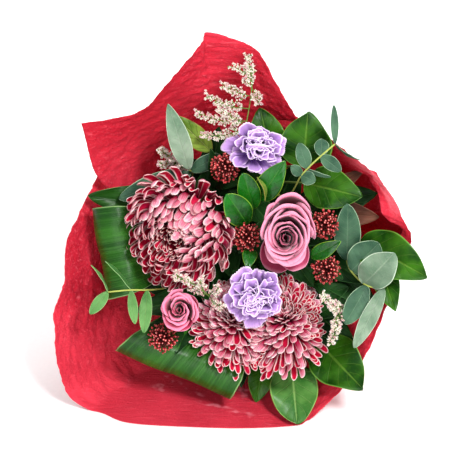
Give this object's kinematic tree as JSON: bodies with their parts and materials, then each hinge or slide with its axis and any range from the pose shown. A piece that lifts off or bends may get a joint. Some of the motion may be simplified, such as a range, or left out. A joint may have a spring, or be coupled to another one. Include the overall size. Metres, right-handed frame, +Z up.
{
  "type": "mixed flower bouquet",
  "caption": "Hand-tied bouquet of chrysanthemums, roses and carnations with mixed foliage in a flared red paper wrapper, lying on its side as a gift or a decoration.",
  "frame": {"origin": "middle of the bounding box on the surface that the bouquet lies on", "axes": "+Z up from the surface; -Y the way the face of the blooms looks, which is also 30 degrees up; the stems run back along +Y; +X to the right of someone who looks into the blooms"},
  "size_m": [0.3764, 0.3916, 0.366],
  "materials": {
    "red_paper": "matte",
    "twine": "matte",
    "chrysanthemum_petals": "matte",
    "rose_petals": "matte",
    "carnation_petals": "matte",
    "skimmia_buds": "satin",
    "glossy_leaf": "gloss",
    "salal_leaf": "satin",
    "aspidistra_leaf": "satin",
    "eucalyptus_leaf": "matte",
    "limonium_florets": "matte",
    "green_stem": "satin"
  },
  "bodies": {
    "root": {"wrapper_back_sheet": "red_paper", "wrapper_front_sheet": "red_paper", "stem_twine": "twine", "wrapper_tie": "twine", "chrysanthemum_left_bloom": "chrysanthemum_petals", "chrysanthemum_left_stem": "green_stem", "chrysanthemum_lower_bloom": "chrysanthemum_petals", "chrysanthemum_lower_stem": "green_stem", "chrysanthemum_right_bloom": "chrysanthemum_petals", "chrysanthemum_right_stem": "green_stem", "rose_large_bloom": "rose_petals", "rose_large_stem": "green_stem", "rose_small_bloom": "rose_petals", "rose_small_stem": "green_stem", "carnation_upper_bloom": "carnation_petals", "carnation_upper_stem": "green_stem", "carnation_lower_bloom": "carnation_petals", "carnation_lower_stem": "green_stem", "skimmia_top_cluster": "skimmia_buds", "skimmia_top_stem": "green_stem", "skimmia_middle_cluster": "skimmia_buds", "skimmia_middle_stem": "green_stem", "skimmia_right_cluster": "skimmia_buds", "skimmia_right_stem": "green_stem", "skimmia_right_lower_cluster": "skimmia_buds", "skimmia_right_lower_stem": "green_stem", "skimmia_lower_left_cluster": "skimmia_buds", "skimmia_lower_left_stem": "green_stem", "glossy_leaf_rounded": "glossy_leaf", "glossy_leaf_upper": "glossy_leaf", "glossy_leaf_carnation": "glossy_leaf", "glossy_leaf_edge": "glossy_leaf", "glossy_leaf_low": "glossy_leaf", "glossy_leaf_right": "glossy_leaf", "salal_top": "salal_leaf", "salal_top_right": "salal_leaf", "salal_right_upper": "salal_leaf", "salal_far_right": "salal_leaf", "salal_right_tip": "salal_leaf", "salal_lower_right": "salal_leaf", "salal_bottom": "salal_leaf", "salal_bottom_dark": "salal_leaf", "salal_curled": "salal_leaf", "aspidistra_upper_left": "aspidistra_leaf", "aspidistra_bottom": "aspidistra_leaf", "aspidistra_left": "aspidistra_leaf", "eucalyptus_upper_left": "eucalyptus_leaf", "eucalyptus_upper_right": "eucalyptus_leaf", "eucalyptus_right": "eucalyptus_leaf", "eucalyptus_left": "eucalyptus_leaf", "limonium_top": "limonium_florets", "limonium_upper_left": "limonium_florets", "limonium_middle": "limonium_florets", "limonium_right": "limonium_florets"}
  },
  "joints": []
}
